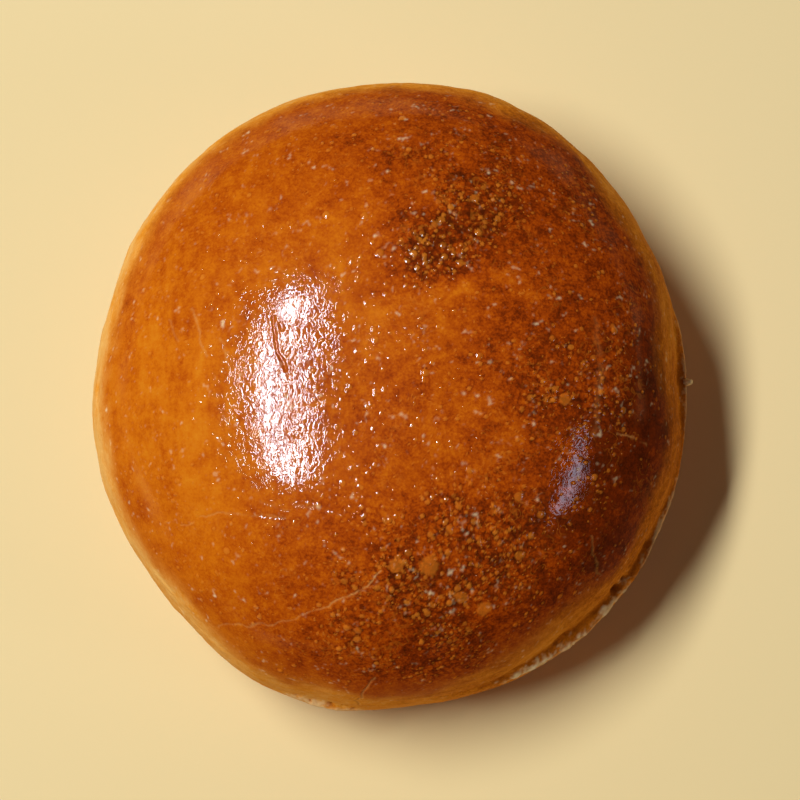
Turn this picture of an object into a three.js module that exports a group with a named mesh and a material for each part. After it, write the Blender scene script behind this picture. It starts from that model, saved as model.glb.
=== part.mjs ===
import * as THREE from "three";

// A domed, egg-washed burger bun, baked as one piece: a flat base, a short rounded side and a
// high crown. Millimetres, +Z up. The origin is the middle of the flat base that it rests on.

// Driving dimensions: the box that the bun fills.
const LENGTH = 108; // the longest way across, along Y
const WIDTH = 101.5; // the shortest way across, along X
const HEIGHT = 54; // base to crown

// Side profile. Radii are parts of the outline's radius and heights are parts of HEIGHT.
const BASE_RADIUS = 0.83; // edge of the flat base
const BELLY_HEIGHT = 0.33; // height of the widest ring
const CROWN_FULLNESS = 2.45; // superellipse exponent above the belly: 2 is an ellipse
const CROWN_SHIFT = { x: -1.2, y: 1.5 }; // how far the crown's top leans off the middle, mm

// The outline seen from above: a circle with waves on it. Each wave repeats `count` times round
// the bun, reaches `depth` parts of the radius, and peaks `peak` degrees from +X towards +Y.
const OUTLINE_WAVES = [
  { count: 2, depth: 0.03, peak: 86 }, // the oval
  { count: 1, depth: 0.004, peak: 106 },
  { count: 4, depth: 0.004, peak: -30 },
  { count: 5, depth: 0.0025, peak: -22 },
  { count: 6, depth: 0.006, peak: 10 }, // soft corners where dough was tucked under
];

// Lips low on the side, where the skin tore and the dough pushed out as it rose in the oven. Each
// one reaches the outline, and the wall is set back from it, sharply above and softly below.
// `at` and `spread` are degrees round the bun; the rest is in millimetres.
const LIPS = [
  { at: -54, spread: 17, height: 19.5, above: 1.3, below: 8, reach: 1.9 },
  { at: -27, spread: 12, height: 18.5, above: 1, below: 8, reach: 0.9 },
  { at: 3, spread: 12, height: 17.5, above: 1.2, below: 8, reach: 1.6 },
  { at: -103, spread: 7, height: 17, above: 1.2, below: 7, reach: 0.9 },
];

// Mesh fineness.
const SIDES = 96;
const BASE_RINGS = 3;
const FOOT_RINGS = 8;
const CROWN_RINGS = 18;
const CROWN_CROWDING = 1.4; // above 1, the crown's rings lie closer together near the belly

const MEAN_RADIUS = (LENGTH + WIDTH) / 4;

// How far a ring point sits from the middle at this angle, for a profile radius of 1.
function outlineRadius(angle) {
  let factor = 1;
  for (const wave of OUTLINE_WAVES) {
    const peak = THREE.MathUtils.degToRad(wave.peak);
    factor += wave.depth * Math.cos(wave.count * (angle - peak));
  }
  return MEAN_RADIUS * factor;
}

// How far the wall lies in from the outline at this angle and height, above and below the lips.
function setBack(angle, height) {
  let back = 0;
  for (const lip of LIPS) {
    const turn = angle - THREE.MathUtils.degToRad(lip.at);
    const nearest = Math.atan2(Math.sin(turn), Math.cos(turn));
    const along = nearest / THREE.MathUtils.degToRad(lip.spread);
    const rise = height - lip.height;
    const up = rise > 0 ? rise / lip.above : rise / lip.below;
    back += lip.reach * Math.exp(-along * along) * (1 - Math.exp(-up * up));
  }
  return back;
}

// The half section from the middle of the base, round the side, to the crown.
function profilePoints() {
  const points = [];
  for (let i = 0; i < BASE_RINGS; i++) {
    points.push(new THREE.Vector2((BASE_RADIUS * i) / BASE_RINGS, 0));
  }
  for (let i = 0; i < FOOT_RINGS; i++) {
    const turn = (Math.PI / 2) * (i / FOOT_RINGS);
    const radius = BASE_RADIUS + (1 - BASE_RADIUS) * Math.sin(turn);
    points.push(new THREE.Vector2(radius, BELLY_HEIGHT * (1 - Math.cos(turn))));
  }
  for (let i = 0; i < CROWN_RINGS; i++) {
    const turn = (Math.PI / 2) * (i / CROWN_RINGS) ** CROWN_CROWDING;
    const radius = Math.cos(turn) ** (2 / CROWN_FULLNESS);
    const rise = Math.sin(turn) ** (2 / CROWN_FULLNESS);
    points.push(new THREE.Vector2(radius, BELLY_HEIGHT + (1 - BELLY_HEIGHT) * rise));
  }
  points.push(new THREE.Vector2(0, 1));
  return points;
}

// Moves the box's middle over the origin and sets its three sides to the driving dimensions.
function fitToSize(geometry) {
  geometry.computeBoundingBox();
  const box = geometry.boundingBox;
  const size = box.getSize(new THREE.Vector3());
  const middle = box.getCenter(new THREE.Vector3());
  geometry.translate(-middle.x, -middle.y, -box.min.z);
  geometry.scale(WIDTH / size.x, LENGTH / size.y, HEIGHT / size.z);
}

function bunGeometry() {
  const geometry = new THREE.LatheGeometry(profilePoints(), SIDES);
  geometry.rotateX(Math.PI / 2);
  const position = geometry.getAttribute("position");
  for (let i = 0; i < position.count; i++) {
    const profileRadius = Math.hypot(position.getX(i), position.getY(i));
    const rise = position.getZ(i);
    const angle = Math.atan2(position.getY(i), position.getX(i));
    const height = rise * HEIGHT;
    const onTheSide = THREE.MathUtils.smoothstep(profileRadius, BASE_RADIUS, 1);
    const back = rise > 0 ? onTheSide * setBack(angle, height) : 0;
    const radius = profileRadius * outlineRadius(angle) - back;
    const lean = rise * rise;
    position.setXYZ(
      i,
      radius * Math.cos(angle) + CROWN_SHIFT.x * lean,
      radius * Math.sin(angle) + CROWN_SHIFT.y * lean,
      height,
    );
  }
  fitToSize(geometry);
  geometry.computeVertexNormals();
  return geometry;
}

function bun() {
  const crust = new THREE.MeshStandardMaterial({
    color: "#b35a12",
    roughness: 0.3,
    metalness: 0,
  });
  const mesh = new THREE.Mesh(bunGeometry(), crust);
  mesh.name = "bun";
  return mesh;
}

const part = new THREE.Group();
part.add(bun());

export default part;
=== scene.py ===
"""A glossy, egg-washed burger bun on a pale floor.

The skin is worked out in millimetres on a fine grid: first the bun's form, then the marks that rising,
washing and baking left on it, with painted shade in its creases, pits and blister rings, and painted
light and shade on its bare side. The grids become one mesh, in metres, at the end.
"""

import math
from itertools import product

import bpy
import numpy as np
from mathutils import Matrix, Vector


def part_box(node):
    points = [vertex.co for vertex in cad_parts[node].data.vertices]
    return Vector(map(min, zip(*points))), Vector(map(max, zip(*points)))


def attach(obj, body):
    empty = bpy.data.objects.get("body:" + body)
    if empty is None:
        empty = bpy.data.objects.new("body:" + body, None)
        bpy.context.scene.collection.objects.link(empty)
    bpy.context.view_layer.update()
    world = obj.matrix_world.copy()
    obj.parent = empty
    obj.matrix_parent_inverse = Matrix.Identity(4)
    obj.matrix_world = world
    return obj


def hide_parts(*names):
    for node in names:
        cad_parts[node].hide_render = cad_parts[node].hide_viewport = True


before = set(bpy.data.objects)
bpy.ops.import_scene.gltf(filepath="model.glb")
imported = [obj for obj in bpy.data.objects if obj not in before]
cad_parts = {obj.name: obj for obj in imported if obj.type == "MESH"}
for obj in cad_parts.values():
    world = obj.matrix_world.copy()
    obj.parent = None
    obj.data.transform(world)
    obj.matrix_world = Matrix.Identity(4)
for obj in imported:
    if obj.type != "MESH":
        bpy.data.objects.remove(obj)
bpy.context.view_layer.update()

MM = 0.001  # metres
NODE = "bun"

# ---------------------------------------------------------------- the bun's form, as in the CAD
low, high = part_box(NODE)
WIDTH, LENGTH, HEIGHT = [side / MM for side in high - low]
MEAN_RADIUS = (LENGTH + WIDTH) / 4

# Side profile. Radii are parts of the outline's radius and heights are parts of HEIGHT.
BASE_RADIUS = 0.83
BELLY_HEIGHT = 0.33
CROWN_FULLNESS = 2.45
CROWN_SHIFT = (-1.2, 1.5)  # mm

# Waves on the outline: repeats round the bun, depth in parts of the radius, peak in degrees.
OUTLINE_WAVES = [(2, 0.03, 86), (1, 0.004, 106), (4, 0.004, -30), (5, 0.0025, -22), (6, 0.006, 10)]

# Lips low on the side, which the wall above and below them is set back from: degrees round the
# bun, spread in degrees, then in millimetres their height, how far above and below that height
# the wall is back, and their reach.
LIPS = [
    (-54, 17, 19.5, 1.3, 8.0, 1.9),
    (-27, 12, 18.5, 1.0, 8.0, 0.9),
    (3, 12, 17.5, 1.2, 8.0, 1.6),
    (-103, 7, 17.0, 1.2, 7.0, 0.9),
]

# ---------------------------------------------------------------- grids
BASE_STEPS = 440  # grid steps across the underside
SKIN_STEPS = 2 * BASE_STEPS  # grid steps across the upper skin
FINEST_STEP = 0.11  # mm: no two skin points of the upper side are closer than this
SECTION_POINTS = 600  # on each of the half section's two curves
FAR = 1e9  # mm: farther than any distance on the bun

# Parts of each grid's reach between which its relief grows from nothing, at its edge, to full.
SKIN_EASING = (1, 0.985)
BASE_EASING = (1, 0.97)

# Where the two grids lie in the texture square, as discs: the middle, which is the same across
# and up, and the radius.
SKIN_UV = (0.415, 0.405)
BASE_UV = (0.83, 0.16)
HEM_UV = 0.003  # how far the strip between the grids reaches past the skin's disc


def smooth(value, start, end):
    """0 before start, 1 after end, with an eased step between them."""
    part = np.clip((value - start) / (end - start), 0, 1)
    return part * part * (3 - 2 * part)


def bell(value):
    """A soft bump: 1 at 0, falling to nothing by about 2."""
    return np.exp(-value * value)


def turn_between(angle, degrees):
    """Degrees from a direction given in degrees to an angle in radians, from -180 to 180."""
    turn = angle - math.radians(degrees)
    return np.degrees(np.arctan2(np.sin(turn), np.cos(turn)))


def disc_grid(steps):
    """A square grid laid over a disc, as distance from the middle (0 to 1) and angle."""
    places = np.linspace(-1, 1, steps + 1)
    a, b = np.meshgrid(places, places, indexing="ij")
    wide = np.abs(a) >= np.abs(b)
    longer = np.where(wide, a, b)
    shorter = np.where(wide, b, a)
    lean = math.pi / 4 * shorter / np.where(longer == 0, 1, longer)
    angle = np.where(wide, lean, math.pi / 2 - lean)
    return np.abs(longer), angle + np.where(longer < 0, math.pi, 0)


def half_section():
    """Radius and height, as parts, and the distance in mm along the skin from the crown."""
    turn = np.linspace(0, math.pi / 2, SECTION_POINTS)
    power = 2 / CROWN_FULLNESS
    foot = BASE_RADIUS + (1 - BASE_RADIUS) * np.sin(turn), BELLY_HEIGHT * (1 - np.cos(turn))
    crown = (
        np.clip(np.cos(turn), 0, 1) ** power,
        BELLY_HEIGHT + (1 - BELLY_HEIGHT) * np.sin(turn) ** power,
    )
    radius = np.concatenate([foot[0], crown[0][1:]])[::-1]
    rise = np.concatenate([foot[1], crown[1][1:]])[::-1]
    steps = np.hypot(np.diff(radius) * MEAN_RADIUS, np.diff(rise) * HEIGHT)
    return radius, rise, np.concatenate([[0], np.cumsum(steps)])


def outline_radius(angle):
    """Millimetres from the middle to the outline at each angle."""
    factor = 1
    for count, depth, peak in OUTLINE_WAVES:
        factor = factor + depth * np.cos(count * (angle - math.radians(peak)))
    return MEAN_RADIUS * factor


def set_back(angle, height):
    """Millimetres that the wall lies in from the outline, above and below each lip."""
    back = 0
    for at, spread, lip_height, above, below, reach in LIPS:
        along = bell(turn_between(angle, at) / spread)
        up = height - lip_height
        back = back + reach * along * (1 - bell(np.where(up > 0, up / above, up / below)))
    return back


def form(angle, radius, rise):
    """The plain bun's points, x, y and z, before they are fitted to the CAD box."""
    height = rise * HEIGHT
    on_the_side = smooth(radius, BASE_RADIUS, 1) * (rise > 0)
    reach = radius * outline_radius(angle) - on_the_side * set_back(angle, height)
    lean = rise * rise
    x = reach * np.cos(angle) + CROWN_SHIFT[0] * lean
    y = reach * np.sin(angle) + CROWN_SHIFT[1] * lean
    return np.stack([x, y, height])


def fit_to_cad(skin_place, *others):
    """Moves and scales the points so that the skin fills the CAD node's box."""
    least = skin_place.min(axis=(1, 2))
    most = skin_place.max(axis=(1, 2))
    scale = np.array([WIDTH, LENGTH, HEIGHT]) / (most - least)
    middle = (least + most) / 2
    middle[2] = least[2]
    cad_middle = np.array([(low.x + high.x) / 2, (low.y + high.y) / 2, low.z]) / MM
    shaped = (slice(None), None, None)
    return [
        (place - middle[shaped]) * scale[shaped] + cad_middle[shaped]
        for place in (skin_place, *others)
    ]


def normals_of(place):
    """Unit vectors out of a grid of points."""
    down = np.gradient(place, axis=1)
    across = np.gradient(place, axis=2)
    normal = np.cross(down, across, axis=0)
    return normal / np.linalg.norm(normal, axis=0)


# ---------------------------------------------------------------- noise
DIRECTIONS = np.random.default_rng(7).normal(size=(256, 3))
DIRECTIONS = (DIRECTIONS / np.linalg.norm(DIRECTIONS, axis=1)[:, None]).astype(np.float32).T
LATTICE_START = 500  # cells: keeps every place on the lattice above 0
NOISE_GAIN = 1.7  # brings the noise to about -1 to 1


def lattice_code(x, y, z, seed):
    """A repeatable random number from 0 to 255 for each corner. Large odd factors mix the bits."""
    with np.errstate(over="ignore"):
        code = x * np.uint32(374761393) + y * np.uint32(668265263)
        code = code + z * np.uint32(2147483647) + np.uint32(seed * 974711 % 2**32)
        code = (code ^ (code >> np.uint32(13))) * np.uint32(1274126177)
    return (code >> np.uint32(20)) & np.uint32(255)


def noise(place, size, seed):
    """Smooth noise from about -1 to 1. size is the lumps' size in mm, or one for each axis."""
    sizes = np.broadcast_to(size, 3)
    spots = [(axis / wide + LATTICE_START).astype(np.float32) for axis, wide in zip(place, sizes)]
    cells = [np.floor(spot) for spot in spots]
    inside = [spot - cell for spot, cell in zip(spots, cells)]
    eased = [part * part * part * (part * (part * 6 - 15) + 10) for part in inside]
    corners = [cell.astype(np.uint32) for cell in cells]
    total = np.zeros_like(spots[0])
    for step in product((0, 1), repeat=3):
        x, y, z = [corner + np.uint32(one) for corner, one in zip(corners, step)]
        code = lattice_code(x, y, z, seed)
        weight = 1
        pull = 0
        for axis, one in enumerate(step):
            weight = weight * (eased[axis] if one else 1 - eased[axis])
            pull = pull + DIRECTIONS[axis][code] * (inside[axis] - one)
        total += weight * pull
    return total * NOISE_GAIN


def mixed_noise(place, parts):
    """The sum of several noises: each has a strength, its lumps' size in mm, and a seed."""
    return sum(strength * noise(place, size, seed) for strength, size, seed in parts)


def layered(place, size, seed, layers=3):
    """Noise with finer and fainter layers on it, from about -1 to 1 in all."""
    total = 0
    for layer in range(layers):
        total = total + noise(place, size / 2**layer, seed + layer) / 2**layer
    return total / 1.5


def warped(place, size, amount, seed):
    """The points pushed about by noise, so that what is drawn with them wanders."""
    push = [noise(place, size, seed + axis) * amount for axis in range(3)]
    return place + np.stack(push)


# ---------------------------------------------------------------- the skin
class Skin:
    """The upper skin: where each grid point is, and what rising and baking did to it there, with
    painted light and shade among its darkening.
    """

    def __init__(self):
        reach, self.angle = disc_grid(SKIN_STEPS)
        radius, rise, along = half_section()
        distance = reach * along[-1]
        self.reach = reach
        self.place = form(
            self.angle, np.interp(distance, along, radius), np.interp(distance, along, rise)
        )

    def settle(self, place):
        """Takes the fitted points, and starts every field off."""
        self.place = place.astype(np.float32)
        self.normal = normals_of(place).astype(np.float32)
        shape = self.angle.shape
        self.lift = np.zeros(shape, np.float32)  # mm out from the form
        self.browning_and_painted_light = np.zeros(shape, np.float32)  # 0 pale to 1 mahogany, with painted light and shade in it
        self.wash = np.zeros(shape, np.float32)  # 0 bare to 1 egg-washed
        self.gloss = np.zeros(shape, np.float32)  # 0 dull to 1 shiny
        self.crowd = np.zeros(shape, np.float32)  # how thick the finest blisters are
        self.crease = np.zeros(shape, np.float32)  # how wrinkled the glaze dried
        self.blister = np.zeros(shape, np.float32)  # pale blisters' tops
        self.scar = np.zeros(shape, np.float32)  # pale hairlines
        self.crumb = np.zeros(shape, np.float32)  # torn, open crumb
        self.edge = smooth(self.reach, *SKIN_EASING)  # 0 where the skin meets the underside

    def is_upper(self):
        """Which points lie above the widest ring."""
        return self.place[2] > BELLY_HEIGHT * HEIGHT

    def nearest(self, x, y):
        """The grid point of the upper side that is nearest to a place seen from above."""
        away = (self.place[0] - x) ** 2 + (self.place[1] - y) ** 2
        away = np.where(self.is_upper(), away, FAR)
        return np.unravel_index(np.argmin(away), away.shape)

    def around(self, spot, reach):
        """A window of the grid about a grid point, and the distance of its points in mm."""
        half = int(reach / FINEST_STEP) + 2
        window = tuple(slice(max(i - half, 0), i + half + 1) for i in spot)
        offset = self.place[(slice(None), *window)] - self.place[(slice(None), *spot)][:, None, None]
        return window, np.sqrt((offset**2).sum(axis=0))


# Where the brush went further down, or less far: degrees round the bun, spread in degrees, how far.
WASH_RUNS = [(-100, 28, 0.20), (-45, 40, 0.22), (138, 45, -0.10), (206, 18, 0.08)]
WASH_ENDS = (20, 25)  # mm above the floor, where it stops even on the lips' upper sides

# How far the skin faces up where the wash, and then its shine, is nothing and where it is full.
WASH_SLOPES = (0.36, 0.60)
GLOSS_SLOPES = (0.62, 0.88)

# Noises to add up, here and further down: strength, the lumps' size in mm, and seed.
WASH_WOBBLE = [(0.10, 13, 11), (0.04, 3.5, 12)]


def spread_wash(skin):
    """Egg wash covers the crown and gives out, unevenly, on the steep side."""
    slope = skin.normal[2] + mixed_noise(skin.place, WASH_WOBBLE)
    runs = sum(more * bell(turn_between(skin.angle, at) / spread) for at, spread, more in WASH_RUNS)
    skin.wash = smooth(slope + runs, *WASH_SLOPES) * smooth(skin.place[2], *WASH_ENDS)
    skin.gloss = skin.wash * smooth(slope, *GLOSS_SLOPES)


PLAIN_BROWNING = 0.58

# Places that browned more or less than the rest: x, y, radius and change in browning.
BROWNED_PATCHES = [
    (46.0, -8.0, 24.0, 0.30),
    (30.0, 34.0, 18.0, 0.16),
    (4.0, 48.0, 18.0, 0.10),
    (12.5, 23.5, 9.0, 0.16),
    (8.0, 17.0, 5.0, 0.18),
    (19.0, 27.0, 7.0, 0.08),
    (10.0, -42.0, 14.0, 0.20),
    (30.0, -30.0, 12.0, 0.10),
    (23.1, 12.4, 4.0, -0.14),
    (2.0, 6.0, 8.0, -0.10),
    (14.0, 9.0, 6.0, -0.05),
    (-30.0, 2.0, 26.0, -0.16),
    (-36.0, -13.0, 14.0, -0.15),
    (-24.0, 36.0, 18.0, -0.11),
    (-35.0, 27.0, 9.0, 0.02),
    (-34.0, -31.0, 12.0, -0.17),
    (10.0, -14.0, 8.0, -0.08),
    (0.0, 28.0, 5.0, -0.08),
    (-2.0, 51.0, 14.0, -0.10),
    (-48.0, 4.0, 14.0, -0.10),
    (41.0, -27.0, 13.0, 0.16),
    (-12.0, 32.0, 6.0, 0.04),
    (1.5, 39.0, 7.0, 0.06),
    (2.0, 16.0, 4.0, 0.06),
    (-5.0, -4.0, 5.0, -0.08),
    (-4.0, -31.0, 7.0, -0.06),
    (-27.0, -42.0, 7.0, -0.08),
    (-10.0, -36.0, 9.0, 0.06),
    (27.0, -19.0, 6.0, -0.08),
]

# Changes in browning down the side.
STEEP_PALER = (0.60, 0.20, 0.24)  # how far the skin faces up where this starts and ends, how much
PALE_BAND = (10, 7, 0.09)  # mm: height and half-height of a band on bare crust, then how much
PAINTED_LIGHT_SIDE = (130, 0.075)  # degrees round the bun to where painted light makes bare crust palest, and how much; painted shade darkens the far side as much
TRAY_BROWNED = (2.5, 0.30)  # mm: up to here the foot browned against the tray, how much
STREAKED_PLACE = (-34, 2, 22)  # x, y and radius of the part with fine streaks along Y
BARE_MOTTLES = [(0.06, (9, 9, 2.2), 26), (0.09, (12, 12, 7), 29)]
FINE_STREAKS = [(0.12, (2.0, 8.0, 4.0), 27), (0.10, (0.8, 2.6, 2.0), 28)]

# Streaks where the wash lay thin and browned less, seen from above: width in mm, change in
# browning, then the points they run through.
THIN_STREAKS = [
    (1.3, -0.09, [(-1.0, 5.0), (1.2, 6.2), (5.3, 8.8), (10.3, 10.0), (15.0, 11.8)]),
    (1.5, -0.10, [(19.5, 13.6), (23.0, 12.4), (26.5, 10.4)]),
    (1.1, -0.10, [(-6.6, 15.6), (-5.0, 12.5), (-4.6, 9.0)]),
    (1.2, -0.08, [(-16.0, 22.0), (-10.0, 23.5), (-4.0, 22.0)]),
]
NET_WIDTH = 0.11  # how far the noise is from 0 at the edge of the net's streaks
NET_CHANGE = 0.09


def distance_to_path(x, y, path):
    """Millimetres, seen from above, from each point to the line through the path's points."""
    nearest = np.full_like(x, FAR)
    for (x0, y0), (x1, y1) in zip(path, path[1:]):
        run_x, run_y = x1 - x0, y1 - y0
        part = ((x - x0) * run_x + (y - y0) * run_y) / (run_x**2 + run_y**2)
        part = np.clip(part, 0, 1)
        nearest = np.minimum(nearest, np.hypot(x - x0 - part * run_x, y - y0 - part * run_y))
    return nearest


def thin_streaks(skin):
    """Change in browning along the named streaks and along a loose net of fainter ones."""
    wandering = warped(skin.place, 4, 1.6, 91)
    change = 0
    for width, most, path in THIN_STREAKS:
        change = change + most * bell(distance_to_path(wandering[0], wandering[1], path) / width)
    net = bell(noise(warped(skin.place, 9, 3.0, 94), (11, 7, 9), 97) / NET_WIDTH)
    return change - NET_CHANGE * net * smooth(noise(skin.place, 12, 98), -0.4, 0.4)


def bare_crust_change_and_painted_light(skin):
    """Change in the darkness of bare crust: uneven, paler in a band, and with painted light and shade,
    lighter towards one side and darker on the other.
    """
    height, half, paler = PALE_BAND
    band = paler * bell((skin.place[2] - height) / half)
    # Painted light and shade: bare crust is lighter on the side towards the key light and darker on the
    # far side.
    at, paler = PAINTED_LIGHT_SIDE
    towards = paler * np.cos(skin.angle - math.radians(at))
    return mixed_noise(skin.place, BARE_MOTTLES) - band - towards


def brown(skin):
    """How dark the crust is: mottled, darker in patches, paler down the side, with painted light and
    shade on the bare crust.
    """
    x, y, z = skin.place
    crust_darkness = PLAIN_BROWNING + 0.12 * layered(skin.place, 14, 21) + 0.06 * noise(skin.place, 3, 25)
    for at_x, at_y, radius, change in BROWNED_PATCHES:
        crust_darkness = crust_darkness + change * bell(np.hypot(x - at_x, y - at_y) / radius)
    start, end, paler = STEEP_PALER
    crust_darkness = crust_darkness - paler * smooth(skin.normal[2], start, end)
    tray_height, darker = TRAY_BROWNED
    crust_darkness = crust_darkness + darker * smooth(z, tray_height, 0.0)
    crust_darkness = crust_darkness + (1 - skin.wash) * bare_crust_change_and_painted_light(skin)
    at_x, at_y, radius = STREAKED_PLACE
    streaked = bell(np.hypot(x - at_x, y - at_y) / radius)
    crust_darkness = crust_darkness + streaked * mixed_noise(skin.place, FINE_STREAKS)
    skin.browning_and_painted_light = crust_darkness + skin.wash * thin_streaks(skin)


# Soft bulges on the side: degrees round the bun, spread in degrees, then height, half-height and
# rise in millimetres. A rise below 0 is a hollow.
BULGES = [
    (186, 3.5, 19.0, 5.0, 0.5),
    (192, 2.5, 17.0, 4.0, -0.5),
    (-86, 12.0, 18.0, 11.0, -0.9),
    (56, 12.0, 18.0, 10.0, -0.4),
    (166, 10.0, 18.0, 10.0, -0.3),
    (-133, 14.0, 18.0, 10.0, -0.3),
]
SLOW_LUMPS = [(0.40, 27, 31), (0.16, 11, 32)]
BARE_LUMPS = [(0.22, (7, 7, 3.5), 33), (0.06, (4, 4, 1.2), 34), (0.07, (1.8, 1.8, 1.2), 35)]


def swell(skin):
    """Slow lumps all over, and finer ones on the bare side."""
    skin.lift += mixed_noise(skin.place, SLOW_LUMPS)
    skin.lift += (1 - skin.wash) * mixed_noise(skin.place, BARE_LUMPS)
    for at, spread, height, half, most in BULGES:
        round_it = bell(turn_between(skin.angle, at) / spread)
        skin.lift += most * round_it * bell((skin.place[2] - height) / half)


# Parts of the crown where the glaze dried into creases: x, y, half-width, half-length and strength.
CREASED_PLACES = [(-17, -4, 9.5, 19, 1), (30, -17, 6, 9, 0.45)]
FAINTEST_CREASE = 0.06  # the creases' strength on the rest of the washed crust
CREASE_DEPTH = 0.012  # mm
PEEL_DEPTH = 0.006  # mm
ORANGE_PEEL = [(1, 1.8, 45), (0.6, 0.9, 46)]


def wrinkle(skin):
    """The dried glaze: a fine orange peel, drawn out into creases on two parts of the crown."""
    x, y = skin.place[:2]
    wandering = warped(skin.place, 5, 1.2, 41)
    creases = np.abs(noise(wandering, (1.3, 4.5, 2.5), 47))
    creased = 0
    for at_x, at_y, wide, long, most in CREASED_PLACES:
        creased = np.maximum(creased, most * bell(np.hypot((x - at_x) / wide, (y - at_y) / long)))
    skin.crease = skin.wash * (FAINTEST_CREASE + (1 - FAINTEST_CREASE) * creased)
    skin.lift += skin.wash * PEEL_DEPTH * mixed_noise(wandering, ORANGE_PEEL)
    skin.lift -= CREASE_DEPTH * skin.crease * bell(creases / 0.12)


# The ring round a blister: depth as a part of the blister's height, and how much shade is painted into
# it.
MOAT_DEPTH = 0.25
MOAT_PAINTED_SHADE = 0.11


def raise_blister(skin, spot, radius, height, jitter, tint):
    """One bubble under the glaze: a low cap with a steep edge and a faint ring of painted shade in the
    hollow round it.
    """
    window, away = skin.around(spot, radius * 1.9)
    away = away / radius * (1 + 0.22 * jitter[window])
    cap = np.clip(1 - away**2, 0, 1) ** 0.7
    moat = bell((away - 1.2) / 0.25)
    skin.lift[window] += height * (cap - MOAT_DEPTH * moat)
    inside = smooth(away, 1.10, 0.80) * tint
    skin.blister[window] = np.maximum(skin.blister[window], inside)
    # painted shade in the ring's hollow
    skin.browning_and_painted_light[window] += MOAT_PAINTED_SHADE * moat * tint


# Large blisters, each in its own place: x, y, radius and height in mm.
FLAT_BLISTERS = [
    (8.2, -33.0, 1.55, 0.05),
    (3.0, -32.8, 1.20, 0.06),
    (30.1, -6.1, 0.95, 0.06),
    (13.0, -37.5, 0.90, 0.06),
    (22.5, -31.0, 0.75, 0.08),
    (16.8, -39.1, 1.30, 0.05),
    (16.0, 27.0, 0.85, 0.08),
    (-1.9, 23.7, 0.60, 0.16),
    (0.7, 17.3, 0.75, 0.12),
    (11.5, -27.0, 0.65, 0.10),
    (22.5, -22.0, 0.65, 0.10),
    (26.0, -24.5, 0.60, 0.12),
]

# How densely small blisters lie on washed crust, against each other: everywhere, and what crowded
# places add to that, as x, y, radius and density.
PLAIN_DENSITY = 1.6
BLISTER_CROWDS = [
    (16.0, 27.5, 6.5, 9.0),
    (8.7, 16.8, 5.0, 11.0),
    (7.0, -36.0, 13.0, 8.0),
    (19.5, -29.0, 5.5, 6.0),
    (32.0, -6.0, 9.0, 5.0),
    (-2.0, 0.0, 14.0, 2.0),
]
# Kinds of small blister: how many, least and most radius in mm, height as a part of the radius,
# how pale, and how strongly they keep to the crowds.
BLISTER_KINDS = [(2000, 0.15, 0.36, 0.32, 0.85, 1), (230, 0.34, 0.60, 0.24, 0.95, 1.6)]
BLISTER_SEED = 5
BLISTER_JITTER = [(1, 0.8, 51), (1, 2.0, 52)]
FULL_CROWD = 9  # the density at which the finest blisters are thickest
FLAT_PALENESS = 0.55


def blister(skin):
    """Blisters: the small ones, crowded in patches, then the few large flat ones."""
    rng = np.random.default_rng(BLISTER_SEED)
    jitter = mixed_noise(skin.place, BLISTER_JITTER)
    x, y = skin.place[:2]
    density = np.full_like(x, PLAIN_DENSITY)
    for at_x, at_y, radius, more in BLISTER_CROWDS:
        density += more * bell(np.hypot(x - at_x, y - at_y) / radius)
    density *= skin.wash**2 * smooth(noise(skin.place, 6, 53), -0.9, 0.5)
    skin.crowd = np.clip(density / FULL_CROWD, 0, 1)
    for count, least, most, steepness, paleness, focus in BLISTER_KINDS:
        chances = np.cumsum(density.ravel() ** focus)
        chosen = np.searchsorted(chances, rng.random(count) * chances[-1])
        sizes = least + (most - least) * rng.random(count) ** 2
        heights = sizes * steepness * (0.5 + rng.random(count))
        tints = paleness * (0.4 + 0.6 * rng.random(count))
        for spot, radius, height, tint in zip(chosen, sizes, heights, tints):
            raise_blister(skin, np.unravel_index(spot, x.shape), radius, height, jitter, tint)
    for at_x, at_y, radius, height in FLAT_BLISTERS:
        raise_blister(skin, skin.nearest(at_x, at_y), radius, height, jitter, FLAT_PALENESS)


# Hairlines seen from above: width and depth in mm, paleness, then the points they run through.
HAIRLINES = [
    (0.09, 0.10, 0.75, [(-9.0, -39.2), (-5.5, -37.7), (-2.0, -35.6), (0.7, -33.7)]),
    (0.08, 0.06, 0.4, [(-28.6, -40.8), (-21.0, -41.6), (-13.8, -41.0), (-9.0, -39.2)]),
    (0.09, 0.06, 0.35, [(-32.9, -25.7), (-27.0, -24.0), (-20.0, -24.6), (-14.8, -25.3)]),
    (0.11, 0.10, 0.5, [(33.8, -27.6), (34.4, -30.0), (35.5, -32.7)]),
    (0.11, 0.10, 0.5, [(38.6, -11.1), (41.0, -11.0), (43.1, -12.0)]),
    (0.13, 0.13, 0.7, [(-1.5, -49.7), (-3.2, -51.4), (-5.2, -53.2)]),
    (0.10, 0.05, 0.5, [(-29.9, 9.2), (-28.9, 5.4), (-27.8, 1.1)]),
    (0.10, 0.05, 0.4, [(-25.1, 3.9), (-24.1, 0.4), (-23.0, -3.2)]),
    (0.10, 0.05, 0.3, [(-34.1, 7.9), (-33.4, 6.0), (-32.7, 4.3)]),
    (0.22, 0.14, 0.0, [(-16.6, 7.0), (-16.1, 3.6), (-15.5, 1.2), (-14.1, -2.0)]),
    (0.24, 0.12, 0.0, [(-15.4, 6.1), (-14.8, 5.0)]),
    (0.11, 0.06, 0.2, [(-18.5, -22.5), (-16.0, -23.6), (-13.9, -24.1)]),
    (0.11, 0.06, 0.2, [(-13.1, -23.4), (-11.4, -23.2), (-9.7, -23.5)]),
    (0.11, 0.06, 0.2, [(-18.9, -24.7), (-17.2, -25.3), (-15.6, -25.3)]),
    (0.10, 0.05, 0.3, [(25.6, 42.8), (26.5, 42.4), (27.3, 41.5)]),
    (0.30, 0.02, 0.12, [(34.8, 7.2), (36.0, -1.5), (35.0, -11.0)]),
]


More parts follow.
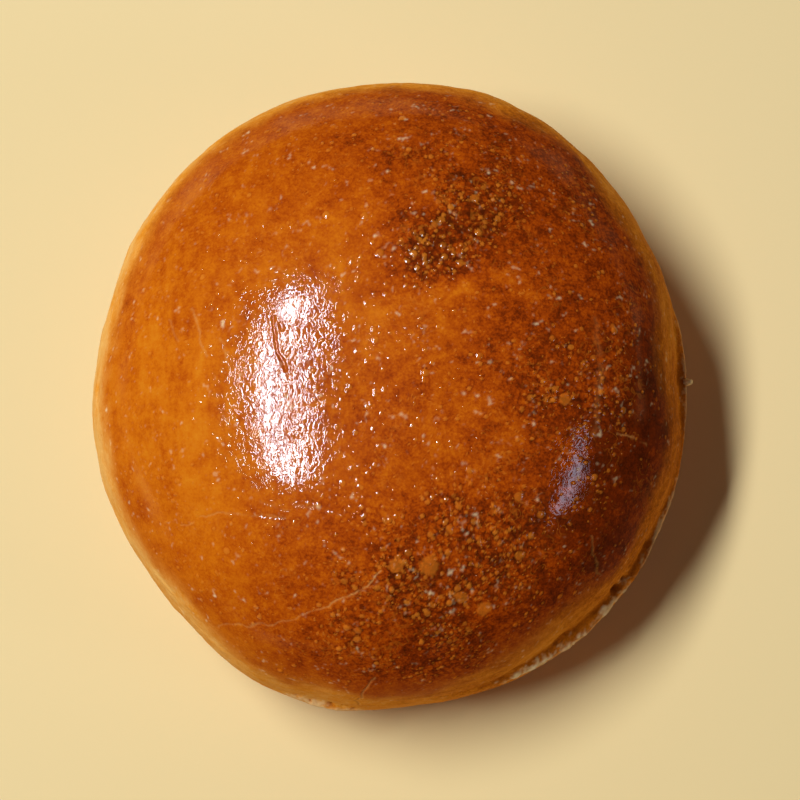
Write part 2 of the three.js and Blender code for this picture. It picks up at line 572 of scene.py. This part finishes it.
def crack(skin):
    """Hairlines where the skin stretched: a shallow groove with pale, slightly raised edges."""
    wandering = warped(skin.place, 3.0, 0.55, 61)
    wandering = warped(wandering, 0.9, 0.18, 64)
    broken = smooth(noise(skin.place, 1.8, 67), -0.75, 0.1)
    upper = skin.is_upper()
    for width, depth, paleness, path in HAIRLINES:
        away = distance_to_path(wandering[0], wandering[1], path) / width
        groove = bell(away) * upper
        brow = bell((away - 2.6) / 1.2) * upper
        skin.lift += depth * (0.25 * brow - groove)
        skin.scar = np.maximum(skin.scar, paleness * broken * bell(away / 1.5) * upper)


# Torn stretches of the lips: degrees round the bun, spread in degrees, height and half-height in
# mm, and how open the crumb is.
TEARS = [
    (-63, 6, 19.3, 1.5, 0.90),
    (-54, 4, 19.0, 1.4, 0.70),
    (-45, 6, 19.3, 1.4, 0.80),
    (-27, 13, 18.3, 1.2, 0.45),
    (3, 14, 17.2, 1.1, 0.40),
    (-105, 4, 17.6, 1.1, 0.50),
    (-98, 4, 17.3, 0.8, 0.40),
]

# Pits low on the side: degrees round the bun, then height, radius and depth in mm. Shade is painted
# into their hollows.
PITS = [
    (-41.5, 21.6, 0.8, 0.9),
    (-39.0, 21.4, 0.5, 0.5),
    (27.0, 20.0, 0.5, 0.6),
    (-107.5, 18.9, 0.50, 0.5),
    (-105.0, 17.9, 0.30, 0.4),
    (-104.1, 19.2, 0.38, 0.4),
    (-101.2, 18.3, 0.55, 0.5),
    (-98.9, 18.8, 0.25, 0.3),
    (-97.0, 17.8, 0.42, 0.4),
]

# A loose flake that stands out from the lip at +X: degrees round the bun, then height, radius and
# reach in mm.
FLAKE = (2.5, 17.6, 0.75, 1.1)

CRUMB_ROUGHNESS = [(0.5, 2.4, 73), (0.6, 1.1, 71), (0.5, 0.6, 72)]

# The crease above each lip: its half-height in mm, its depth as a part of the lip's reach, and how much
# shade is painted into it.
FOLD_HALF = 0.45
FOLD_DEPTH = 0.28
FOLD_PAINTED_SHADE = 0.12


def around_the_side(skin, at, height):
    """Millimetres along the side's skin from a place on it."""
    along = np.radians(turn_between(skin.angle, at)) * MEAN_RADIUS
    return np.hypot(along, skin.place[2] - height)


def tear(skin):
    """Rough open crumb along the lips, with the skin folded in above them, and pits. Shade is painted
    into the folds and the pits.
    """
    height = skin.place[2]
    rough = mixed_noise(skin.place, CRUMB_ROUGHNESS)
    ragged = smooth(noise(skin.place, 4.0, 74), -0.5, 0.5)
    for at, spread, lip_height, above, _, reach in LIPS:
        up = height - lip_height - 2.0 * above
        fold = bell(turn_between(skin.angle, at) / spread) * bell(up / FOLD_HALF) * ragged
        skin.lift -= FOLD_DEPTH * reach * fold
        # painted shade: the fold's hollow is darkened
        skin.browning_and_painted_light += FOLD_PAINTED_SHADE * fold
    for at, spread, tear_height, half, open_ in TEARS:
        along = bell(turn_between(skin.angle, at) / spread)
        band = along * bell((height - tear_height) / half)
        skin.lift += open_ * band * (0.15 + 0.45 * rough)
        skin.crumb = np.maximum(skin.crumb, open_ * smooth(band + 0.6 * rough, 0.25, 0.95))
    for at, pit_height, radius, depth in PITS:
        hollow = bell(around_the_side(skin, at, pit_height) / radius)
        skin.lift -= depth * hollow
        # painted shade in the pit's hollow
        skin.browning_and_painted_light += 0.35 * hollow
        skin.crumb *= 1 - hollow
    at, flake_height, radius, reach = FLAKE
    flake = smooth(around_the_side(skin, at, flake_height), radius, 0.45 * radius)
    skin.lift += reach * flake
    skin.crumb = np.maximum(skin.crumb, smooth(flake, 0.0, 0.4))


BASE_PIT_DEPTH = 0.35  # mm
BASE_GAP = 0.996  # the underside's grid ends this part of the way to the skin's edge


def press_base(steps):
    """The underside's points, flat and not yet fitted, and its grid's reach and angle."""
    reach, angle = disc_grid(steps)
    flat = np.zeros_like(reach)
    return form(angle, reach * BASE_RADIUS * BASE_GAP, flat), reach, angle


def pit_base(place, reach):
    """The fitted underside with pits in it, and the fields that are not 0 there."""
    pits = smooth(layered(place, 2.2, 81), 0.15, 0.8) * smooth(reach, *BASE_EASING)
    place = place + np.stack([0 * pits, 0 * pits, BASE_PIT_DEPTH * pits])
    browning_and_painted_light = 0.50 + 0.20 * layered(place, 9, 84) + 0.25 * smooth(reach, 0.7, 0.98)
    return place, {"browning_and_painted_light": browning_and_painted_light, "crumb": 0.5 * pits}


# ---------------------------------------------------------------- from grids to a mesh
def border(count):
    """Flat indices of a grid's edge points, once round from the corner at -45 degrees."""
    last = count - 1
    run = np.arange(last)
    sides = [(last + 0 * run, run), (last - run, last + 0 * run), (0 * run, last - run), (run, 0 * run)]
    return np.concatenate([i * count + j for i, j in sides])


def grid_faces(count):
    """Corner indices of a grid's squares, turning outwards."""
    i, j = np.meshgrid(np.arange(count - 1), np.arange(count - 1), indexing="ij")
    first = (i * count + j).ravel()
    return np.stack([first, first + count, first + count + 1, first + 1], axis=1)


def hem_faces(outer, inner):
    """Triangles between the skin's edge and the underside's, which has half as many points."""
    start = outer[0::2]
    halfway = outer[1::2]
    end = np.roll(start, -1)
    inner_end = np.roll(inner, -1)
    triangles = [(start, inner, halfway), (halfway, inner, inner_end), (halfway, inner_end, end)]
    return np.concatenate([np.stack(corners, axis=1) for corners in triangles])


def disc_uv(reach, angle, middle, radius):
    """Texture places of a grid's points, laid out as a disc."""
    u = middle + radius * reach * np.cos(angle)
    v = middle + radius * reach * np.sin(angle)
    return np.stack([u.ravel(), v.ravel()], axis=1)


def bun_faces(skin_count, base_count):
    """Corner indices of both grids' squares, and of the hem's triangles between the grids."""
    skin_total = skin_count**2
    quads = np.concatenate([grid_faces(skin_count), grid_faces(base_count)[:, ::-1] + skin_total])
    return quads, hem_faces(border(skin_count), border(base_count) + skin_total)


def corner_uv(skin, base_reach, base_angle, quads, hem):
    """A texture place for each face corner. The hem is a thin ring round the skin's disc."""
    skin_total = skin.angle.size
    skin_uv = disc_uv(skin.reach, skin.angle, *SKIN_UV)
    base_uv = disc_uv(base_reach, base_angle, *BASE_UV)
    hem_uv = disc_uv(base_reach, base_angle, SKIN_UV[0], SKIN_UV[1] + HEM_UV)
    hem_corners = hem.ravel()
    uv = np.concatenate([skin_uv, base_uv])[np.concatenate([quads.ravel(), hem_corners])]
    on_base = hem_corners >= skin_total
    uv[quads.size :][on_base] = hem_uv[hem_corners[on_base] - skin_total]
    return uv


def make_mesh(name, points, quads, hem, uv, fields):
    """One closed mesh, in metres, with its texture places and its fields."""
    corners = np.concatenate([quads.ravel(), hem.ravel()]).astype(np.int32)
    starts = np.concatenate([np.arange(len(quads)) * 4, quads.size + np.arange(len(hem)) * 3])
    mesh = bpy.data.meshes.new(name)
    mesh.vertices.add(points.shape[1])
    mesh.vertices.foreach_set("co", (points.T * MM).astype(np.float32).ravel())
    mesh.loops.add(len(corners))
    mesh.loops.foreach_set("vertex_index", corners)
    mesh.polygons.add(len(starts))
    mesh.polygons.foreach_set("loop_start", starts.astype(np.int32))
    mesh.update(calc_edges=True)
    mesh.polygons.foreach_set("use_smooth", np.ones(len(starts), bool))
    layer = mesh.uv_layers.new(name="OFBake")
    layer.data.foreach_set("uv", uv.astype(np.float32).ravel())
    for field, values in fields.items():
        attribute = mesh.attributes.new(field, "FLOAT", "POINT")
        attribute.data.foreach_set("value", values.astype(np.float32))
    mesh.update()
    return mesh


# What the mesh carries to the material, from the skin and from the underside.
FIELDS = ("browning_and_painted_light", "wash", "gloss", "crowd", "crease", "blister", "scar", "crumb")


def bake_bun():
    """The finished bun as a Blender object."""
    skin = Skin()
    base_place, base_reach, base_angle = press_base(BASE_STEPS)
    skin_place, base_place = fit_to_cad(skin.place, base_place)
    skin.settle(skin_place)
    for work in (spread_wash, brown, swell, wrinkle, blister, crack, tear):
        work(skin)
    skin.place = skin.place + skin.normal * skin.lift * skin.edge
    skin.place[2] = np.maximum(skin.place[2], 0)
    base_place, base_fields = pit_base(base_place, base_reach)

    points = np.concatenate([skin.place.reshape(3, -1), base_place.reshape(3, -1)], axis=1)
    quads, hem = bun_faces(skin.angle.shape[0], base_angle.shape[0])
    uv = corner_uv(skin, base_reach, base_angle, quads, hem)
    nothing = np.zeros_like(base_reach)
    fields = {
        name: np.concatenate([getattr(skin, name).ravel(), base_fields.get(name, nothing).ravel()])
        for name in FIELDS
    }
    mesh = make_mesh("bun_crust", points, quads, hem, uv, fields)
    bun = bpy.data.objects.new("bun_crust", mesh)
    bpy.context.scene.collection.objects.link(bun)
    return bun


# ---------------------------------------------------------------- materials
class Nodes:
    """Short calls that add nodes to a material and link them."""

    def __init__(self, material):
        material.use_nodes = True
        self.tree = material.node_tree
        self.shader = self.tree.nodes["Principled BSDF"]

    def add(self, kind, inputs=(), **settings):
        """A new node, with its settings made and its sockets fed by name or number."""
        node = self.tree.nodes.new(kind)
        for name, value in settings.items():
            setattr(node, name, value)
        for socket, value in dict(inputs).items():
            self.feed(node.inputs[socket], value)
        return node

    def feed(self, socket, value):
        """Links another node's output to a socket, or sets the socket to a plain value."""
        if isinstance(value, bpy.types.NodeSocket):
            self.tree.links.new(value, socket)
        else:
            socket.default_value = value

    def field(self, name):
        """One of the fields that the mesh carries."""
        return self.add("ShaderNodeAttribute", attribute_name=name).outputs["Fac"]

    def place(self):
        """Where the point is on the bun, in metres."""
        return self.add("ShaderNodeTexCoord").outputs["Object"]

    def maths(self, operation, a, b=0.0):
        """One sum on numbers, by the name of its operation."""
        return self.add("ShaderNodeMath", {0: a, 1: b}, operation=operation).outputs[0]

    def plus(self, a, b):
        return self.maths("ADD", a, b)

    def times(self, a, b):
        return self.maths("MULTIPLY", a, b)

    def vector(self, operation, a, b):
        """The same for vectors."""
        return self.add("ShaderNodeVectorMath", {0: a, 1: b}, operation=operation).outputs[0]

    def wobbled(self, size, amount):
        """The place, pushed about by noise by up to half of this amount."""
        inputs = {"Vector": self.place(), "Scale": 1 / size, "Detail": 1.0}
        push = self.add("ShaderNodeTexNoise", inputs).outputs["Color"]
        centred = self.vector("SUBTRACT", push, (0.5, 0.5, 0.5))
        return self.vector("ADD", self.place(), self.vector("MULTIPLY", centred, (amount,) * 3))

    def cells(self, size, at):
        """Distance to the nearest of many scattered points, in cells, and its random number."""
        texture = self.add("ShaderNodeTexVoronoi", {"Vector": at, "Scale": 1 / size})
        colour = self.add("ShaderNodeSeparateColor", {0: texture.outputs["Color"]})
        return texture.outputs["Distance"], colour.outputs[0]

    def specks(self, size, most, crowd, at):
        """Round specks, at most one to a cell and up to this radius in cells: 1 on their tops."""
        distance, chance = self.cells(size, at)
        # The range ends just above 1, so that it stays open where nothing crowds.
        wide = self.remap(chance, self.maths("SUBTRACT", 1.0, crowd), 1.001, 0.0, most)
        ratio = self.maths("DIVIDE", distance, self.maths("MAXIMUM", wide, 0.02))
        return self.remap(ratio, 0.25, 1.0, 1.0, 0.0)

    def noise(self, size, detail=2.0, roughness=0.5, distortion=0.0, at=None):
        """Noise with lumps of about this size in metres, centred on 0."""
        inputs = {
            "Vector": at or self.place(),
            "Scale": 1 / size,
            "Detail": detail,
            "Roughness": roughness,
            "Distortion": distortion,
        }
        texture = self.add("ShaderNodeTexNoise", inputs)
        return self.plus(texture.outputs["Fac"], -0.5)

    def remap(self, value, start, end, low=0.0, high=1.0):
        """low before start, high after end, with an eased step between them."""
        inputs = {"Value": value, "From Min": start, "From Max": end, "To Min": low, "To Max": high}
        return self.add("ShaderNodeMapRange", inputs, interpolation_type="SMOOTHSTEP").outputs[0]

    def ramp(self, value, stops):
        """A colour read off a list of places and colours."""
        node = self.add("ShaderNodeValToRGB", {0: value})
        elements = node.color_ramp.elements
        while len(elements) < len(stops):
            elements.new(0.5)
        for element, (position, colour) in zip(elements, stops):
            element.position = position
            element.color = (*colour, 1)
        return node.outputs["Color"]

    def mix(self, part, first, second):
        """A colour this part of the way from the first to the second."""
        node = self.add("ShaderNodeMix", data_type="RGBA")
        self.feed(node.inputs["Factor"], part)
        for socket, colour in ((node.inputs[6], first), (node.inputs[7], second)):
            self.feed(socket, (*colour, 1) if isinstance(colour, tuple) else colour)
        return node.outputs[2]

    def bump(self, height, distance):
        """The normal of relief whose height is measured in this many metres."""
        inputs = {"Height": height, "Distance": distance, "Strength": 1.0}
        return self.add("ShaderNodeBump", inputs).outputs["Normal"]


# Crust colours from pale to dark: browning and colour.
WASHED_CRUST = [
    (0.00, (0.66, 0.200, 0.0080)),
    (0.30, (0.58, 0.132, 0.0030)),
    (0.50, (0.45, 0.076, 0.0016)),
    (0.66, (0.33, 0.043, 0.0010)),
    (0.82, (0.18, 0.020, 0.0006)),
    (1.00, (0.075, 0.009, 0.0005)),
]
BARE_CRUST = [
    (0.00, (0.88, 0.46, 0.120)),
    (0.35, (0.82, 0.29, 0.022)),
    (0.60, (0.60, 0.165, 0.007)),
    (1.00, (0.20, 0.040, 0.003)),
]
BLISTER_TAN = (0.65, 0.180, 0.013)
SCAR_TAN = (0.66, 0.30, 0.08)
CRUMB_CREAM = (0.92, 0.70, 0.38)

# How strongly each mark's colour covers the crust's.
SCRATCH_COVER = 0.22
BLISTER_COVER = 0.72
SCAR_COVER = 0.8
FINE_CAP_COVER = 0.75  # the finest blisters, against the larger ones

# Heights in millimetres of the relief that is too fine for the mesh.
PEEL_RELIEF = 0.012
CREASE_RELIEF = 0.022
CRUMB_RELIEF = 0.12
FINE_CAP_RELIEF = 0.045
BARE_GRAIN_RELIEF = 0.10

COAT_WEIGHT = 0.75  # where the gloss is full
COAT_ROUGHNESS = 0.06
CRUST_SPECULAR = 0.012


def crust_colour(make, wash, caps):
    """Browning in clouds, mottles and cells, then scratches, blisters, scars and crumb over it."""
    clouds = make.times(make.noise(0.0045, detail=2.0), 0.30)
    mottle = make.times(make.noise(0.0016, detail=3.0, roughness=0.65), 0.50)
    grain = make.times(make.noise(0.0004, detail=2.0, roughness=0.6), 0.36)
    distance, _ = make.cells(0.0009, make.wobbled(0.0008, 0.0007))
    net = make.remap(distance, 0.25, 0.75, -0.06, 0.12)
    net = make.times(net, make.remap(make.field("crowd"), 0.1, 0.7, 0.45, 1.1))
    fine = make.plus(mottle, make.plus(grain, net))
    browning_and_painted_light = make.field("browning_and_painted_light")
    fine = make.times(fine, make.remap(browning_and_painted_light, 0.35, 0.70, 0.65, 1.1))
    fine = make.times(fine, make.remap(browning_and_painted_light, 0.74, 0.95, 1.0, 0.45))
    browning_and_painted_light = make.plus(browning_and_painted_light, make.plus(clouds, fine))
    washed = make.ramp(browning_and_painted_light, WASHED_CRUST)
    bare = make.ramp(make.plus(browning_and_painted_light, -0.10), BARE_CRUST)
    colour = make.mix(wash, bare, washed)
    thread = make.maths("ABSOLUTE", make.noise(0.0022, detail=2.0, distortion=0.6))
    thin = make.remap(make.noise(0.007, detail=1.0), -0.04, 0.14)
    scratches = make.times(make.remap(thread, 0.0, 0.045, 1.0, 0.0), make.times(thin, wash))
    colour = make.mix(make.times(scratches, SCRATCH_COVER), colour, BLISTER_TAN)
    colour = make.mix(make.times(caps, BLISTER_COVER), colour, BLISTER_TAN)
    colour = make.mix(make.times(make.field("scar"), SCAR_COVER), colour, SCAR_TAN)
    return make.mix(make.field("crumb"), colour, CRUMB_CREAM)


def crust_height(make, wash, fine_caps):
    """The crust's finest relief, in millimetres."""
    peel = make.times(make.noise(0.0010, detail=1.0, distortion=0.5), PEEL_RELIEF)
    stretched = make.vector("MULTIPLY", make.wobbled(0.003, 0.002), (1.0, 0.55, 0.8))
    thread = make.noise(0.0008, detail=1.0, distortion=1.0, at=stretched)
    thread = make.maths("ABSOLUTE", thread)
    valleys = make.remap(thread, 0.0, 0.17, -CREASE_RELIEF, 0.0)
    height = make.plus(peel, make.times(valleys, make.field("crease")))
    grit = make.times(make.noise(0.0006, detail=3.0, roughness=0.7), CRUMB_RELIEF)
    height = make.plus(height, make.times(grit, make.field("crumb")))
    height = make.plus(height, make.times(fine_caps, FINE_CAP_RELIEF))
    bare_grain = make.times(make.noise(0.0009, detail=2.5, roughness=0.6), BARE_GRAIN_RELIEF)
    return make.plus(height, make.times(bare_grain, make.maths("SUBTRACT", 1.0, wash)))


def crust_material():
    """Baked crust under a clear coat that is there only where the egg wash shines."""
    material = bpy.data.materials.new("egg_washed_crust")
    make = Nodes(material)
    wash = make.field("wash")
    crowd = make.field("crowd")
    coarse = make.specks(0.0013, 0.36, crowd, make.wobbled(0.0012, 0.0003))
    fine = make.specks(0.0007, 0.40, make.times(crowd, 1.3), make.wobbled(0.0006, 0.0002))
    fine_caps = make.maths("MAXIMUM", coarse, fine)
    caps = make.maths("MAXIMUM", make.field("blister"), make.times(fine_caps, FINE_CAP_COVER))
    make.feed(make.shader.inputs["Base Color"], crust_colour(make, wash, caps))

    smudge = make.noise(0.006, detail=3.0)
    roughness = make.remap(wash, 0.0, 1.0, 0.70, 0.50)
    roughness = make.plus(roughness, make.times(smudge, 0.20))
    make.feed(make.shader.inputs["Roughness"], roughness)
    gloss = make.times(make.field("gloss"), make.remap(make.field("crumb"), 0.0, 0.5, 1.0, 0.0))
    make.feed(make.shader.inputs["Coat Weight"], make.times(gloss, COAT_WEIGHT))
    make.shader.inputs["Coat Roughness"].default_value = COAT_ROUGHNESS
    make.shader.inputs["Specular IOR Level"].default_value = CRUST_SPECULAR

    normal = make.bump(crust_height(make, wash, fine_caps), MM)
    make.feed(make.shader.inputs["Normal"], normal)
    make.feed(make.shader.inputs["Coat Normal"], normal)
    return material


FLOOR = (0.80, 0.60, 0.30)
FLOOR_LOW = (0.77, 0.57, 0.27)
BACKDROP = (0.77, 0.60, 0.33)
FLOOR_ROUGHNESS = 0.8
FLOOR_SPECULAR = 0.1
FLOOR_FADE = (0.12, 0.60)  # metres from the middle, where the floor starts and ends fading


def floor_material():
    """A pale floor that fades into the backdrop far from the bun, where the camera sees it."""
    material = bpy.data.materials.new("pale_floor")
    make = Nodes(material)
    tone = make.noise(0.5, detail=2.0)
    colour = make.mix(make.remap(tone, -0.3, 0.3), FLOOR, FLOOR_LOW)
    make.feed(make.shader.inputs["Base Color"], colour)
    make.shader.inputs["Roughness"].default_value = FLOOR_ROUGHNESS
    make.shader.inputs["Specular IOR Level"].default_value = FLOOR_SPECULAR
    away = make.add("ShaderNodeVectorMath", {0: make.place()}, operation="LENGTH").outputs["Value"]
    seen = make.add("ShaderNodeLightPath").outputs["Is Camera Ray"]
    fade = make.times(make.remap(away, *FLOOR_FADE), seen)
    glow = make.add("ShaderNodeEmission", {"Color": (*BACKDROP, 1)}).outputs[0]
    surface = make.add("ShaderNodeMixShader", {0: fade, 1: make.shader.outputs[0], 2: glow})
    output = make.tree.nodes["Material Output"]
    make.feed(output.inputs["Surface"], surface.outputs[0])
    return material


# ---------------------------------------------------------------- the studio
FLOOR_SIDE = 6.0  # metres
CAMERA_AZIMUTH = 20  # degrees
CAMERA_ELEVATION = 79  # degrees
CAMERA_DISTANCE = 0.45  # metres
CAMERA_TARGET = (0.0017, -0.0008, 0.020)  # metres
FRAME_WIDTH = 0.1376  # metres across the picture at the target
SENSOR = 36.0  # mm
NEAREST_SEEN = 0.01  # metres from the camera

# Soft lights: name, the way to the light from the bun, the way that its long side lies, distance
# and size in metres, watts, and colour.
PANELS = [
    ("key", (-0.362, 0.092, 0.930), (0.20, 1.0, 0.0), 1.0, (0.13, 0.66), 13.0, (0.84, 0.92, 1.0)),
    ("window", (0.806, -0.298, 0.511), (0.0, 1.0, 0.0), 0.9, (0.12, 0.28), 0.55, (0.72, 0.78, 1.0)),
]
AMBIENT = 0.05  # strength of the even light
AMBIENT_COLOUR = (1.0, 0.64, 0.28)


def direction(azimuth, elevation):
    """The way to the camera: azimuth 0 stands at -Y, 90 at +X."""
    turn, rise = math.radians(azimuth), math.radians(elevation)
    flat = math.cos(rise)
    return Vector((flat * math.sin(turn), -flat * math.cos(turn), math.sin(rise)))


def aim(thing, place, target, up):
    """Stands a camera or lamp at a place, looking at the target."""
    ahead = (target - place).normalized()
    right = ahead.cross(up).normalized()
    axes = Matrix((right, right.cross(ahead), -ahead)).transposed()
    thing.matrix_world = Matrix.Translation(place) @ axes.to_4x4()


def add_camera():
    """The main camera, which looks down on the bun with its picture's top towards +Y."""
    data = bpy.data.cameras.new("camera")
    data.sensor_width = SENSOR
    data.lens = SENSOR * CAMERA_DISTANCE / FRAME_WIDTH
    data.clip_start = NEAREST_SEEN
    camera = bpy.data.objects.new("camera", data)
    target = Vector(CAMERA_TARGET)
    place = target + direction(CAMERA_AZIMUTH, CAMERA_ELEVATION) * CAMERA_DISTANCE
    aim(camera, place, target, Vector((0, 1, 0)))
    bpy.context.scene.collection.objects.link(camera)
    bpy.context.scene.camera = camera


def add_panel(name, way, up, distance, size, watts, colour):
    """An oval soft light that faces the bun, its long side along `up`."""
    data = bpy.data.lights.new(name, "AREA")
    data.shape = "ELLIPSE"
    data.size, data.size_y = size
    data.energy = watts
    data.color = colour
    lamp = bpy.data.objects.new(name, data)
    target = Vector((0, 0, HEIGHT * MM / 2))
    aim(lamp, target + Vector(way).normalized() * distance, target, Vector(up))
    bpy.context.scene.collection.objects.link(lamp)


def add_world():
    """Dim even light on the bun; the camera sees a pale backdrop past the floor."""
    world = bpy.data.worlds.new("studio")
    world.use_nodes = True
    tree = world.node_tree
    backdrop = tree.nodes["Background"]
    backdrop.inputs["Color"].default_value = (*BACKDROP, 1)
    ambient = tree.nodes.new("ShaderNodeBackground")
    ambient.inputs["Color"].default_value = (*AMBIENT_COLOUR, 1)
    ambient.inputs["Strength"].default_value = AMBIENT
    path = tree.nodes.new("ShaderNodeLightPath")
    either = tree.nodes.new("ShaderNodeMixShader")
    tree.links.new(path.outputs["Is Camera Ray"], either.inputs[0])
    tree.links.new(ambient.outputs[0], either.inputs[1])
    tree.links.new(backdrop.outputs[0], either.inputs[2])
    tree.links.new(either.outputs[0], tree.nodes["World Output"].inputs["Surface"])
    bpy.context.scene.world = world


def add_floor():
    """One large square that the bun stands on."""
    half = FLOOR_SIDE / 2
    corners = [(-half, -half, 0), (half, -half, 0), (half, half, 0), (-half, half, 0)]
    mesh = bpy.data.meshes.new("floor")
    mesh.from_pydata(corners, [], [(0, 1, 2, 3)])
    mesh.materials.append(floor_material())
    floor = bpy.data.objects.new("floor", mesh)
    bpy.context.scene.collection.objects.link(floor)


add_camera()
for panel in PANELS:
    add_panel(*panel)
add_world()
add_floor()
bpy.context.scene.view_settings.view_transform = "Standard"

bun = bake_bun()
bun.data.materials.append(crust_material())
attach(bun, "root")
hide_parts(NODE)
